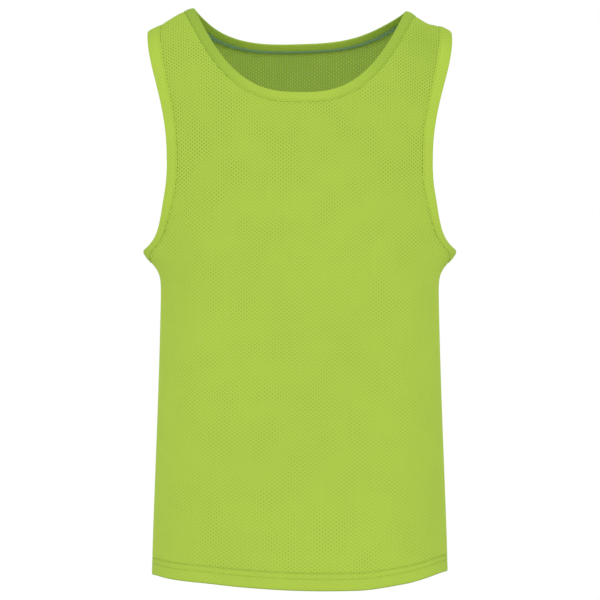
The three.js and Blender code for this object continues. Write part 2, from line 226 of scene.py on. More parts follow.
# The section of a folded binding, a strip one layer thick that holds the panel's raw edge.
# Each point lies so far from the seam or from the fold, at a height over the cloth's face. The
# binding goes round in steps, with a ripple. More cloth than its two faces is folded in. Its map
# spans so many metres.
BAND_SECTION = [
    ("seam", 0.0, -0.2), ("seam", 0.15, 0.08), ("seam", 0.7, 0.3), ("seam", 1.4, 0.3),
    ("seam", 2.2, 0.08), ("seam", 3.0, 0.34), ("seam", 4.4, 0.52), ("fold", 5.0, 0.6),
    ("fold", 2.6, 0.48), ("fold", 1.1, 0.14), ("fold", 0.3, -0.32), ("fold", 0.0, -0.78),
    ("fold", 0.3, -1.3), ("fold", 1.1, -1.82), ("fold", 2.6, -2.1), ("fold", 5.0, -2.2),
    ("seam", 4.4, -2.2), ("seam", 2.2, -1.85), ("seam", 0.7, -2.1), ("seam", 0.0, -1.8),
    ("seam", 0.2, -1.35), ("seam", 2.2, -1.25), ("fold", 5.0, -1.25), ("fold", 1.9, -1.1),
    ("fold", 1.4, -0.75), ("fold", 1.9, -0.4), ("fold", 5.0, -0.15), ("seam", 2.2, -0.35),
    ("seam", 0.5, -0.15),
]
BAND_STEP = 3.0
BAND_RIPPLE = 0.16
BAND_RIPPLE_PACE = 0.8
BAND_SPAN = 1.0

# Round an opening, a measure runs from 0 to 4: over the front to 2, and back over the back. An
# edge is divided into no fewer than so many steps.
FULL_ROUND = 4
BACK_MIDDLE = 3
LEAST_STEPS = 8

# Stitches: length, half-width, half-height, how far apart they start, and how much room each
# has on its map. A binding's row lies so far from its seam, at a height.
STITCH_LONG = 2.5
STITCH_WIDE = 0.32
STITCH_HIGH = 0.22
STITCH_PITCH = 3.2
STITCH_ROOM = 1.1
TOPSTITCH_FROM_SEAM = 2.2
TOPSTITCH_HEIGHT = 0.16

# Overlocked seam allowances inside. A side's starts under the underarm, a shoulder's is tucked
# under both bindings, and each lies at a height with a ripple.
ALLOWANCE_WIDE = 8
ALLOWANCE_THICK = 1.2
SIDE_ALLOWANCE = {"below": 10, "above hem": 4, "points": 160, "from seam": 0.5, "height": -1.9, "ripple": 0.4}
SHOULDER_ALLOWANCE = {"tucked": 2, "points": 14, "forward": 1.5, "height": -1.3, "ripple": 0.2}

# The tape that covers the back neck's seam, painted dark as the shadow under the binding's edge:
# wider towards its ends, which reach a share of the way to the shoulders.
TAPE_FROM_FOLD = 10.6
TAPE_WIDE = 3.6
TAPE_WIDER = 5.0
TAPE_HEIGHT = -2.3
TAPE_THICK = 1.0
TAPE_SHARE = 0.97
TAPE_RIPPLE = 0.15

# The section of a flat strip with rounded edges: share of its width, share of its thickness. Its
# map keeps a margin and spans so many metres.
STRIP_SECTION = [
    (0, 0.5), (0.06, 0.95), (0.3, 1), (0.7, 1), (0.94, 0.95), (1, 0.5), (0.9, 0), (0.1, 0),
]
STRIP_MARGIN = 0.01
STRIP_SPAN = 0.45

# Colours, as eight-bit shades, each made linear for the shader.
CLOTH_SHADE = (175, 203, 76)
# The dark of the holes is painted shade, where the shaded inside shows through, and all other painted shade
# darkens towards it.
HOLE_PAINTED_SHADE = (98, 136, 50)
BAND_SHADE = (178, 206, 77)
# The bindings' dots and the grooves between their ribs are painted darker with this, as shade.
BAND_DOT_PAINTED_SHADE = (136, 163, 58)
THREAD_SHADE = (160, 188, 62)
# The tape's dark teal is painted shadow, from under the binding's edge.
TAPE_SHADOW_SHADE = (118, 156, 116)
OVERLOCK_SHADE = (156, 188, 74)
FLOOR_SHADE = (246, 246, 246)
FLOOR_DRIFT = 4

# Painted shade, as a share of the way to the holes' painted shade: the cloth is painted darker
# towards the shoulders, on the wearer's left strap, at the shoulder seams, the underarms, the ends
# of the hem and its stitch lines (a row's middle and ends), and along the bindings. The neck's edge
# is darkest on the front's right half, and each edge and groove is only so wide.
TOP_DIM = 0.08
TOP_DIM_REACH = 260
STRAP_DIM = {"across": 160, "down": 70, "wide": 45, "strength": 0.15}
SHOULDER_DIM = 0.13
SHOULDER_DIM_REACH = 5
UNDERARM_DIM = 0.24
UNDERARM_DIM_REACH = 26
HEM_DIM = 0.09
HEM_DIM_REACH = 60
HEM_LINE_DIM = {6: (0.08, 0.2), 9: (0.2, 0.42)}
NECK_BAND_DIM = {"middle": 0.08, "shoulders": (0.42, 0.34), "from": 0.12}
NECK_EDGE_DIM = (0.0, 0.4)
NECK_EDGE_ELSEWHERE = 0.3
EDGE_WIDE = 0.5
GROOVE_WIDE = 0.1
NECK_GROOVE_DIM = 0.08
ARMHOLE_BAND_DIM = {"shoulder": 0.18, "reach": 0.4, "underarm": 0.3, "spread": 0.36}
ARMHOLE_EDGE_DIM = 0.02

# How strongly the painted shade of the holes shows: more beside the armhole seams, where the cloth
# is pulled, less below the chest, and least in the middle of the doubled hem.
PULLED = 0.5
PULLED_REACH = 7
HOLES_SHOWN = {"chest": 1.12, "below": 0.7, "from": 200, "over": 160}
HEM_HOLES = 0.3

# Inside the back neck, which daylight shines through, the holes are painted lighter than the cloth
# as painted light, and the columns between them a little darker and bluer as painted shade.
YOKE_DOWN = 105
YOKE_FADE = 110
HOLE_PAINTED_LIGHT = (206, 238, 86)
YOKE_COLUMN_PAINTED_SHADE = (157, 186, 92)
YOKE_COLUMNS = 0.46

# Light: how bright the white surround is for what it lights, and the soft lamps round the bib,
# with their places and watts.
SURROUND_LIGHT = 0.9
LAMP_SIZE = 1.5
LAMP_TARGET = (0, 0, -0.35)
LAMPS = [
    ("lamp_front_right", (-1.1, -2.0, 0.8), 7),
    ("lamp_front_left", (1.2, -2.0, 0.8), 7),
    ("lamp_back_right", (-1.0, 2.1, 0.7), 8),
    ("lamp_back_left", (1.0, 2.1, 0.7), 8),
]

# The studio's floor: how large, where, and the scale and detail of its paint's drift.
FLOOR_SIZE = 6
FLOOR_PLACE = (0, 0.3, -1.45)
FLOOR_NOISE = (3, 2)

# A wave texture repeats every WAVE_PERIOD over its scale. The knits' ribs, in metres.
WAVE_PERIOD = 0.31416
WAVE_DETAIL = 0.6
WALE = 0.00105
COURSE = 0.00078
RIB = 0.0024
OVERLOCK_RIB = 0.0016
TWIST = 0.0006

# How much of each pattern shows: the shares of two that are mixed, the scale and detail of the
# drift of a shade, broad and fine, and of the patches in which the holes show less.
LARGER_SHARE = 0.65
SMALLER_SHARE = 0.35
BROAD_NOISE = (7, 3)
FINE_NOISE = (420, 2)
PATCH_NOISE = (26, 1)
PATCH_RANGE = (0.35, 0.65)
CLOTH_LOOK = {"distortion": 0.4, "drift": 0.03, "knit": 0.1, "least": 0.4, "relief": 0.5}
BAND_LOOK = {"distortion": 0.5, "drift": 0.03, "rib": 0.22, "least": 0.1, "holes": 0.8}
THREAD_LOOK = {"distortion": 0.3, "drift": 0.08}

# Finishes: roughness and sheen. Bumps: strength and distance in metres.
CLOTH_FINISH = (0.88, 0.01)
THREAD_FINISH = (0.6, 0.02)
FLOOR_FINISH = (0.8, 0.0)
SHEEN_ROUGHNESS = 0.45
SPECULAR_LEVEL = 0.06
CLOTH_BUMP = (0.5, 0.0003)
BAND_BUMP = (0.35, 0.0002)
THREAD_BUMP = (0.4, 0.0001)

# Camera: the lens and place that give the photograph's framing.
SENSOR = 36
LENS = 96.78
CAMERA_PLACE = (0.00025, -2.0, -0.347)


def smooth_curve(xs, ys):
    """A smooth curve through points that never overshoots them."""
    xs = np.array(xs, float)
    ys = np.array(ys, float)
    step = np.diff(xs)
    rise = np.diff(ys) / step
    slope = np.empty(len(xs))
    slope[0] = rise[0]
    slope[-1] = rise[-1]
    mean = (rise[:-1] * step[1:] + rise[1:] * step[:-1]) / (step[:-1] + step[1:])
    least = np.minimum(np.minimum(np.abs(rise[:-1]), np.abs(rise[1:])), np.abs(mean) / 2)
    slope[1:-1] = (np.sign(rise[:-1]) + np.sign(rise[1:])) * least

    def curve(x):
        x = np.asarray(x, float)
        i = np.clip(np.searchsorted(xs, x) - 1, 0, len(step) - 1)
        h = step[i]
        t = np.clip((x - xs[i]) / h, -CURVE_PAST, 1 + CURVE_PAST)
        a = (slope[i] + slope[i + 1] - 2 * rise[i]) * h
        b = (3 * rise[i] - 2 * slope[i] - slope[i + 1]) * h
        return ys[i] + t * (slope[i] * h + t * (b + t * a))

    return curve


def curve_of(rows, column):
    """A smooth curve of one column of a table over its first column."""
    return smooth_curve([row[0] for row in rows], [row[column] for row in rows])


def ease(t):
    """A smooth step from 0 to 1."""
    c = np.clip(t, 0, 1)
    return c * c * (3 - 2 * c)


def lerp(a, b, t):
    """The value so far on the way from a to b."""
    return a + (b - a) * t


def bell(distance, wide):
    """1 on a line, falling off smoothly on both sides of it."""
    return np.exp(-((distance / wide) ** 2))


def walked(points):
    """How far along a chain each of its points lies."""
    steps = np.linalg.norm(np.diff(points, axis=0), axis=-1)
    return np.concatenate([[0], np.cumsum(steps)])


# The sections in one row, from the front hem over the shoulder to the back hem.
FRONT_ROW = [(fall, -depth, spread, corner) for fall, depth, spread, corner in SECTIONS[FRONT_SIDE]]
ALL_SECTIONS = np.array(FRONT_ROW[::-1] + [RIDGE] + SECTIONS[BACK_SIDE], float)
STATIONS = walked(ALL_SECTIONS[:, :2])
STATIONS -= STATIONS[len(FRONT_ROW)]
fall_at, depth_at, spread_at, corner_at = (
    smooth_curve(STATIONS, ALL_SECTIONS[:, column]) for column in range(4)
)
side_out = curve_of(SIDES, 1)
hem_lift = {FRONT_SIDE: curve_of(HEM_LIFT, 1), BACK_SIDE: curve_of(HEM_LIFT, 2)}
HEM_DOWN = {FRONT_SIDE: -STATIONS[0], BACK_SIDE: STATIONS[-1]}
shoulder_wave = curve_of(SHOULDER_WAVE, 1)


def run_at(side, fall):
    """How far down a panel a fall is reached."""
    fall = np.asarray(fall, float)
    near = np.zeros_like(fall)
    far = np.full_like(fall, HEM_DOWN[side])
    for _ in range(HALVINGS):
        middle = (near + far) / 2
        short = fall_at(side * middle) < fall
        near = np.where(short, middle, near)
        far = np.where(short, far, middle)
    return (near + far) / 2


def oval_at(run):
    """The level section there, a wide arc across the panel and a corner arc."""
    depth = np.maximum(np.abs(depth_at(run)), LEAST_DEPTH)
    corner = np.minimum(corner_at(run), MOST_CORNER * depth)
    width = side_out(fall_at(run)) + spread_at(run)
    turn = 2 * np.arctan((depth - corner) / (width - corner))
    broad = corner + (width - corner) / np.sin(turn)
    girth = broad * turn + corner * (np.pi / 2 - turn)
    return depth, corner, turn, broad, girth


def girth_at(run):
    """Half the girth of one panel there."""
    return oval_at(run)[4]


def along_oval(oval, across):
    """How far out and forward a level section stands at a distance across."""
    depth, corner, turn, broad, _ = oval
    s = np.abs(across)
    wide = broad * turn
    flat = s <= wide
    angle = np.where(flat, s / broad, turn + (s - wide) / corner)
    round_out = (broad - corner) * np.sin(turn) + corner * np.sin(angle)
    out = np.where(flat, broad * np.sin(angle), round_out)
    forward = np.where(flat, depth - broad * (1 - np.cos(angle)), corner * np.cos(angle))
    return np.sign(across) * out, forward


def across_at(run, out):
    """The distance across at which a section stands so far out."""
    _, corner, turn, broad, _ = oval_at(run)
    away = np.abs(out)
    flat = away <= broad * np.sin(turn)
    gentle = broad * np.arcsin(np.clip(away / broad, 0, 1))
    sine = np.clip((away - (broad - corner) * np.sin(turn)) / corner, 0, 1)
    tight = broad * turn + corner * (np.arcsin(sine) - turn)
    return np.sign(out) * np.where(flat, gentle, tight)


def slope_drop(out):
    """How far the shoulder has dropped so far out."""
    past = np.abs(out) - SLOPE_START
    bend = (past + SLOPE_EASE) ** 2 / (4 * SLOPE_EASE)
    return SLOPE * np.where(past < -SLOPE_EASE, 0, np.where(past > SLOPE_EASE, past, bend))


def flare_at(fall, share):
    """How far the side seam stands out at the underarm and just below it."""
    above = UNDERARM_FALL - fall
    over = np.clip(1 - above / FLARE_ABOVE, 0, 1) ** 3
    fade = np.where(above > 0, over, bell(above, FLARE_BELOW))
    return FLARE * fade * ease((share - FLARE_FROM) / (1 - FLARE_FROM))


def one_fold(across, fall, row):
    """The height that one fold adds: a ridge, or a trough, that fades out at its ends."""
    start, top, end, bottom, wide, height = row
    dx = end - start
    dz = bottom - top
    long = math.hypot(dx, dz)
    along = ((across - start) * dx + (fall - top) * dz) / long**2
    aside = ((across - start) * dz - (fall - top) * dx) / long
    return height * (np.sin(np.pi * np.clip(along, 0, 1)) ** 2 * bell(aside, wide))


def fold_height(side, across, fall):
    """What all folds and creases of a panel add."""
    height = np.zeros_like(across)
    for row in FOLDS[side]:
        height += one_fold(np.abs(across), fall, row)
    for row in CREASES[side]:
        height += one_fold(across, fall, row)
    return height


def cloth(across, run):
    """The cloth's outer face, in millimetres."""
    fall = fall_at(run)
    oval = oval_at(run)
    out, forward = along_oval(oval, across)
    share = np.clip(across / oval[4], -1, 1)
    on_front = run < 0
    side = np.where(on_front, -1, 1)
    tilt = ease(1 - np.abs(run) / SLOPE_RUN)
    low = bell(HEM_FALL - fall, HEM_LIFT_HEIGHT)
    lift = np.where(on_front, hem_lift[FRONT_SIDE](share), hem_lift[BACK_SIDE](share)) * low
    behind = np.where(on_front, 0, ease(run / LEAN_BLEND))
    lean = lerp(LEAN_FRONT, LEAN_BACK, behind) * ease(1 - fall / LEAN_HEIGHT)
    front_fold = fold_height(FRONT_SIDE, across, fall)
    back_fold = fold_height(BACK_SIDE, across, fall)
    fold = np.where(on_front, front_fold, back_fold) * ease(forward / FOLD_FADE)
    x = out + np.sign(across) * flare_at(fall, np.abs(share))
    y = side * (forward + fold)
    z = STRAP_FALL - fall - tilt * slope_drop(out) + lift + lean * x
    on_shoulder = np.clip(x, SHOULDER_WAVE[0][0], SHOULDER_WAVE[-1][0])
    z += shoulder_wave(on_shoulder) * bell(run, SHOULDER_WAVE_RUN)
    return np.stack([x, y, z], axis=-1)


def off_cloth(across, run, height):
    """Points that stand off the cloth's outer face, inwards where the height is negative."""
    across = np.asarray(across, float)
    run = np.asarray(run, float)
    along = cloth(across + NORMAL_STEP, run) - cloth(across - NORMAL_STEP, run)
    onward = cloth(across, run + NORMAL_STEP) - cloth(across, run - NORMAL_STEP)
    normal = np.cross(along, onward)
    normal /= np.linalg.norm(normal, axis=-1, keepdims=True)
    return cloth(across, run) + normal * np.asarray(height, float)[..., None]


def armhole_edge(side, step, inset):
    """Where an armhole's edge lies: step 0 at the shoulder, 1 at the chest, 2 at the underarm."""
    scoop = float(run_at(side, SCOOP_FALL[side]))
    chest = float(across_at(side * scoop, CHEST_OUT[side])) - inset
    underarm = float(run_at(side, UNDERARM_FALL)) + inset
    step = np.asarray(step, float)
    upper = np.minimum(step, 1)
    part = (1 + np.cos(np.pi * upper**SCOOP_SKEW)) / 2
    high_run = side * scoop * upper
    high = across_at(high_run, lerp(CHEST_OUT[side], SHOULDER_OUT, part)) - inset
    angle = (np.maximum(step, 1) - 1) * np.pi / 2
    low_run = side * (scoop + (underarm - scoop) * np.sin(angle))
    girth = girth_at(low_run)
    low = girth - (girth - chest) * np.cos(angle)
    return np.where(step <= 1, high, low), np.where(step <= 1, high_run, low_run)


def neck_edge(side, share, inset):
    """Where the neck's edge lies: share runs from -1 to 1 across the opening."""
    neck = NECK[side]
    share = np.asarray(share, float)
    fall = (neck["drop"] + inset * neck["steep"]) * np.maximum(0, 1 - np.abs(share) ** neck["power"])
    run = side * run_at(side, fall)
    return across_at(run, share * (NECK_HALF_WIDTH + inset)), run


def pucker(along):
    """An uneven ripple, from -1 to 1, along a seam."""
    drift = np.sin(2 * np.pi * along / PUCKER_DRIFT)
    return np.sin(2 * np.pi * along / PUCKER_LENGTH + PUCKER_UNEVEN * drift)


def only(piece):
    """Deselects everything, then selects this piece and makes it the active one."""
    bpy.ops.object.select_all(action="DESELECT")
    piece.select_set(True)
    bpy.context.view_layer.objects.active = piece


def triples(parts, name):
    """One measure of all points or faces, a row of three each."""
    values = np.empty(len(parts) * 3)
    parts.foreach_get(name, values)
    return values.reshape(-1, 3)


def points_of(piece):
    """A piece's points, one row each."""
    return triples(piece.data.vertices, "co")


def move_points(piece, points):
    """Puts a piece's points where they belong, given in millimetres."""
    piece.data.vertices.foreach_set("co", (points * METRE).ravel())
    piece.data.update()


def choose(piece, kind, chosen):
    """Leaves only the chosen vertices or faces of a piece selected, and opens edit mode there."""
    only(piece)
    bpy.ops.object.mode_set(mode="EDIT")
    bpy.ops.mesh.select_mode(type=kind)
    bpy.ops.mesh.select_all(action="DESELECT")
    bpy.ops.object.mode_set(mode="OBJECT")
    parts = piece.data.vertices if kind == "VERT" else piece.data.polygons
    parts.foreach_set("select", chosen.astype(bool))
    bpy.ops.object.mode_set(mode="EDIT")


def edit_all(piece, operation, **values):
    """Does one edit to the whole of a piece."""
    only(piece)
    bpy.ops.object.mode_set(mode="EDIT")
    bpy.ops.mesh.select_all(action="SELECT")
    operation(**values)
    bpy.ops.object.mode_set(mode="OBJECT")


def set_map(piece, places):
    """Gives each corner of a piece its place on the piece's own map."""
    corners = np.empty(len(piece.data.loops), int)
    piece.data.loops.foreach_get("vertex_index", corners)
    for layer in list(piece.data.uv_layers):
        piece.data.uv_layers.remove(layer)
    layer = piece.data.uv_layers.new(name="OFBake")
    layer.data.foreach_set("uv", places[corners].ravel())


def set_level(piece, name, values):
    """Gives every point of a piece a value that its material reads by name."""
    level = piece.data.attributes.new(name, "FLOAT", "POINT")
    level.data.foreach_set("value", np.asarray(values, float).ravel())


def shades(shade):
    """An eight-bit shade as linear red, green and blue."""
    part = np.array(shade) / 255
    return tuple(np.where(part <= 0.04045, part / 12.92, ((part + 0.055) / 1.055) ** 2.4)) + (1,)


class Nodes:
    """A material's node tree, with short calls to add nodes and to join them."""

    def __init__(self, name):
        self.material = bpy.data.materials.new(name)
        self.material.use_nodes = True
        self.tree = self.material.node_tree
        self.shader = self.tree.nodes["Principled BSDF"]

    def add(self, kind, **values):
        node = self.tree.nodes.new(kind)
        for key, value in values.items():
            setattr(node, key, value)
        return node

    def join(self, source, target):
        self.tree.links.new(source, target)

    def maths(self, operation, first, second):
        node = self.add("ShaderNodeMath", operation=operation)
        for socket, value in zip(node.inputs, (first, second)):
            if isinstance(value, (int, float)):
                socket.default_value = value
            else:
                self.join(value, socket)
        return node.outputs[0]

    def mix(self, factor, first, second):
        node = self.add("ShaderNodeMix", data_type="RGBA")
        for name, value in (("Factor_Float", factor), ("A_Color", first), ("B_Color", second)):
            socket = next(s for s in node.inputs if s.identifier == name)
            if isinstance(value, (int, float, tuple)):
                socket.default_value = value
            else:
                self.join(value, socket)
        return next(s for s in node.outputs if s.identifier == "Result_Color")

    def times(self, first, second):
        return self.maths("MULTIPLY", first, second)

    def blend(self, first, second):
        """Two patterns mixed, more of the first."""
        return self.maths("ADD", self.times(first, LARGER_SHARE), self.times(second, SMALLER_SHARE))

    def noise(self, source, scale, detail):
        node = self.add("ShaderNodeTexNoise")
        node.inputs["Scale"].default_value = scale
        node.inputs["Detail"].default_value = detail
        self.join(source, node.inputs["Vector"])
        return node.outputs[0]

    def wave(self, source, direction, pitch, distortion):
        node = self.add("ShaderNodeTexWave", bands_direction=direction)
        node.inputs["Scale"].default_value = WAVE_PERIOD / pitch
        node.inputs["Distortion"].default_value = distortion
        node.inputs["Detail"].default_value = 1
        node.inputs["Detail Scale"].default_value = WAVE_DETAIL
        self.join(source, node.inputs["Vector"])
        return node.outputs[1]

    def ramp(self, value, source, target, way):
        """A value carried from one range to another, and kept within it."""
        node = self.add("ShaderNodeMapRange", interpolation_type=way)
        self.join(value, node.inputs["Value"])
        for name, ends in (("From", source), ("To", target)):
            node.inputs[name + " Min"].default_value = ends[0]
            node.inputs[name + " Max"].default_value = ends[1]
        return node.outputs["Result"]

    def flat_map(self, span):
        """The piece's own map in metres of cloth, from the middle of its top edge."""
        source = self.add("ShaderNodeUVMap", uv_map="OFBake")
        scale = self.add("ShaderNodeMapping")
        scale.inputs["Location"].default_value = (-span / 2, -span, 0)
        scale.inputs["Scale"].default_value = (span, span, span)
        self.join(source.outputs[0], scale.inputs["Vector"])
        return scale.outputs[0]

    def level(self, name):
        """A value that each point of the piece carries."""
        return self.add("ShaderNodeAttribute", attribute_name=name).outputs["Fac"]

    def object_place(self):
        return self.add("ShaderNodeTexCoord").outputs["Object"]

    def with_painted_shade(self, colour, shade):
        """A colour darkened by the painted shade that each point of the piece carries."""
        return self.mix(self.level("painted_shade"), colour, shades(shade))

    def bump(self, height, strength, distance):
        node = self.add("ShaderNodeBump")
        node.inputs["Strength"].default_value = strength
        node.inputs["Distance"].default_value = distance
        self.join(height, node.inputs["Height"])
        self.join(node.outputs[0], self.shader.inputs["Normal"])

    def paint(self, colour):
        self.join(colour, self.shader.inputs["Base Color"])

    def finish(self, roughness, sheen):
        self.shader.inputs["Roughness"].default_value = roughness
        self.shader.inputs["Sheen Weight"].default_value = sheen
        self.shader.inputs["Sheen Roughness"].default_value = SHEEN_ROUGHNESS
        self.shader.inputs["Specular IOR Level"].default_value = SPECULAR_LEVEL
        return self.material


def soft_shade(nodes, shade, amount):
    """A cloth colour that drifts a little, in broad patches and in fine flecks."""
    place = nodes.object_place()
    drift = nodes.blend(nodes.noise(place, *BROAD_NOISE), nodes.noise(place, *FINE_NOISE))
    light = shades(np.clip(np.array(shade) * (1 + amount), 0, 255))
    dark = shades(np.array(shade) * (1 - amount))
    return nodes.mix(drift, dark, light)


def dimples(nodes, flat, column_step, row_step):
    """A mask that is 1 at the holes of the mesh, which lie at every other crossing of a grid, and where their
    painted shade goes.
    """
    parts = nodes.add("ShaderNodeSeparateXYZ")
    nodes.join(flat, parts.inputs[0])
    column = nodes.maths("DIVIDE", parts.outputs[0], column_step * METRE)
    row = nodes.maths("DIVIDE", parts.outputs[1], row_step * METRE)
    away = []
    for operation in ("ADD", "SUBTRACT"):
        diagonal = nodes.times(nodes.maths(operation, column, row), 0.5)
        away.append(nodes.maths("SUBTRACT", diagonal, nodes.maths("ROUND", diagonal, 0)))
    across = nodes.times(nodes.maths("ADD", *away), column_step)
    down = nodes.times(nodes.maths("SUBTRACT", *away), row_step)
    squares = [nodes.times(length, length) for length in (across, down)]
    radius = nodes.maths("SQRT", nodes.maths("ADD", *squares), 0)
    return nodes.ramp(radius, (DIMPLE_FLOOR, DIMPLE_RIM), (1, 0), "SMOOTHSTEP")


def patchy(nodes, flat, least):
    """A strength between a least value and 1 that changes slowly over the cloth."""
    return nodes.ramp(nodes.noise(flat, *PATCH_NOISE), PATCH_RANGE, (least, 1), "LINEAR")


def yoke_shades(nodes, flat, cut, ground, hole_colour):
    """The back's cloth and holes, with painted light in the holes and painted shade between the columns where
    daylight shines through inside the neck.
    """
    yoke = nodes.level("yoke")
    parts = nodes.add("ShaderNodeSeparateXYZ")
    nodes.join(flat, parts.inputs[0])
    turn = nodes.times(parts.outputs[0], 2 * math.pi / (cut.column_step * METRE))
    between = nodes.maths("SUBTRACT", 1, nodes.maths("COSINE", turn, 0))
    bluer = nodes.times(nodes.times(between, YOKE_COLUMNS), yoke)
    return (
        nodes.mix(bluer, ground, shades(YOKE_COLUMN_PAINTED_SHADE)),
        nodes.mix(yoke, hole_colour, shades(HOLE_PAINTED_LIGHT)),
    )


def mesh_cloth_material(name, cut):
    """Holed polyester mesh: fine wales and courses with painted shade in their grooves, and a dimple round
    each hole, painted dark as the shade of the inside that shows through it.
    """
    look = CLOTH_LOOK
    nodes = Nodes(name)
    flat = nodes.flat_map(cut.span * METRE)
    wales = nodes.wave(flat, "X", WALE, look["distortion"])
    courses = nodes.wave(flat, "Y", COURSE, look["distortion"])
    knit = nodes.blend(wales, courses)
    hole = dimples(nodes, flat, cut.column_step, cut.row_step)
    cloth_colour = soft_shade(nodes, CLOTH_SHADE, look["drift"])
    hole_colour = shades(HOLE_PAINTED_SHADE)
    # Painted shade: the knit's grooves a little darker, and the dimples round the holes darker still.
    ground = nodes.mix(nodes.times(knit, look["knit"]), cloth_colour, hole_colour)
    if cut.side == BACK_SIDE:
        ground, hole_colour = yoke_shades(nodes, flat, cut, ground, hole_colour)
    shown = nodes.times(hole, nodes.level("holes"))
    strength = nodes.times(shown, patchy(nodes, flat, look["least"]))
    nodes.paint(nodes.with_painted_shade(nodes.mix(strength, ground, hole_colour), HOLE_PAINTED_SHADE))
    nodes.bump(nodes.maths("SUBTRACT", nodes.times(knit, look["relief"]), shown), *CLOTH_BUMP)
    return nodes.finish(*CLOTH_FINISH)


def band_material(name, shade, span, rib, hole_strength):
    """A closer knit: fine ribs across the strip with painted shade between them, and faint dots of painted
    shade where its own mesh shows.
    """
    look = BAND_LOOK
    nodes = Nodes(name)
    flat = nodes.flat_map(span)
    ribs = nodes.wave(flat, "X", rib, look["distortion"])
    hole = dimples(nodes, flat, ROW_STEP, COLUMN_STEP)
    hole_colour = shades(BAND_DOT_PAINTED_SHADE)
    colour = soft_shade(nodes, shade, look["drift"])
    # Painted shade between the ribs, and in the dots.
    ribbed = nodes.mix(nodes.times(ribs, look["rib"]), colour, hole_colour)
    strength = nodes.times(hole, nodes.times(patchy(nodes, flat, look["least"]), hole_strength))
    nodes.paint(nodes.with_painted_shade(nodes.mix(strength, ribbed, hole_colour), HOLE_PAINTED_SHADE))
    nodes.bump(ribs, *BAND_BUMP)
    return nodes.finish(*CLOTH_FINISH)


def thread_material(name, shade):
    """Twisted polyester thread."""
    look = THREAD_LOOK
    nodes = Nodes(name)
    place = nodes.object_place()
    nodes.paint(soft_shade(nodes, shade, look["drift"]))
    nodes.bump(nodes.wave(place, "DIAGONAL", TWIST, look["distortion"]), *THREAD_BUMP)
    return nodes.finish(*THREAD_FINISH)


def panel_edges(side, inset_neck, inset_armhole):
    """How far across the neck and the armhole reach at each distance down a panel."""
    across, run = neck_edge(side, np.linspace(0, 1, EDGE_POINTS), inset_neck)
    neck_down = np.abs(run)[::-1]
    neck_across = across[::-1]
    arm_across, arm_run = armhole_edge(side, np.linspace(0, 2, EDGE_POINTS), inset_armhole)
    arm_down = np.abs(arm_run)

    def neck_half(down):
        return np.interp(down, neck_down, neck_across, right=-1)

    def armhole_half(down):
        return np.interp(down, arm_down, arm_across, right=10 * SHOULDER_OUT)

    return neck_half, armhole_half


def seam_lines(side):
    """Points along the seams of the neck and the armholes on a panel, across and down."""
    neck_across, neck_run = neck_edge(side, np.linspace(-1, 1, SEAM_POINTS), NECK_BAND)
    arm_across, arm_run = armhole_edge(side, np.linspace(0, 2, SEAM_POINTS), ARMHOLE_BAND)
    across = np.concatenate([neck_across, arm_across, -arm_across])
    down = np.abs(np.concatenate([neck_run, arm_run, arm_run]))
    return across, down


def nearest(line_across, line_down, across, down):
    """The distance from each point to the nearest point of a line, and which one that is."""
    tree = KDTree(len(line_across))
    for i, (a, d) in enumerate(zip(line_across, line_down)):
        tree.insert((a, d, 0), i)
    tree.balance()
    found = [tree.find((a, d, 0)) for a, d in zip(across, down)]
    return np.array([f[2] for f in found]), np.array([f[1] for f in found])


def near_seams(side, across, down):
    """The distance from each point to the nearest bound seam, and a measure along that seam."""
    seam_across, seam_down = seam_lines(side)
    distance, place = nearest(seam_across, seam_down, across, down)
    return distance, walked(np.stack([seam_across, seam_down], axis=-1))[place]


class Cut:
    """The flat grid of one panel, and where its columns and rows lie on the cloth."""

    def __init__(self, side):
        self.side = side
        self.underarm = float(run_at(side, UNDERARM_FALL))
        self.half = float(girth_at(side * self.underarm))
        self.half_columns = round(self.half / COLUMN_STEP)
        self.column_step = self.half / self.half_columns
        self.rows = round(HEM_DOWN[side] / ROW_STEP)
        self.row_step = HEM_DOWN[side] / self.rows
        self.turned_rows = round(HEM_DEPTH / self.row_step)
        self.length = (self.rows + self.turned_rows) * self.row_step
        self.span = max(2 * self.half, self.length)

    def across(self, flat_x, down):
        """Columns keep to the cloth's grain above the underarm and spread with the girth below."""
        girth = girth_at(self.side * np.maximum(down, self.underarm))
        return flat_x * girth / self.half

    def down(self, flat_x, flat_y):
        """The grain is straight: the shoulder is cut at a slope, and the hem comes back up."""
        level = np.where(flat_y > HEM_DOWN[self.side], 2 * HEM_DOWN[self.side] - flat_y, flat_y)
        out, _ = along_oval(oval_at(self.side * level), flat_x)
        return level - SHOULDER_CUT_SLOPE * slope_drop(out) * ease(1 - level / SLOPE_RUN)

    def to_side(self, across, down):
        """How far a place on the cloth is from the side seam."""
        return girth_at(self.side * np.maximum(down, SHOULDER_GAP)) - np.abs(across)

    def to_hem(self, down):
        """How far a place on the cloth is from the hem's fold."""
        return HEM_DOWN[self.side] - down

    def raw_edges(self):
        """Where the cloth is cut at the neck and the armholes, inside the bindings."""
        return panel_edges(self.side, NECK_BAND - UNDER_BAND, ARMHOLE_BAND - UNDER_BAND)


def flat_grid(name, cut):
    """A plain grid, laid out in millimetres: x across the panel and y down it."""
    bpy.ops.object.select_all(action="DESELECT")
    bpy.ops.mesh.primitive_grid_add(
        x_subdivisions=2 * cut.half_columns,
        y_subdivisions=cut.rows + cut.turned_rows,
        size=1,
        location=(0, 0, 0),
    )
    piece = bpy.context.active_object
    piece.name = name
    points = points_of(piece) * (2 * cut.half, cut.length, 0)
    points[:, 1] += cut.length / 2
    piece.data.vertices.foreach_set("co", points.ravel())
    piece.data.update()
    return piece


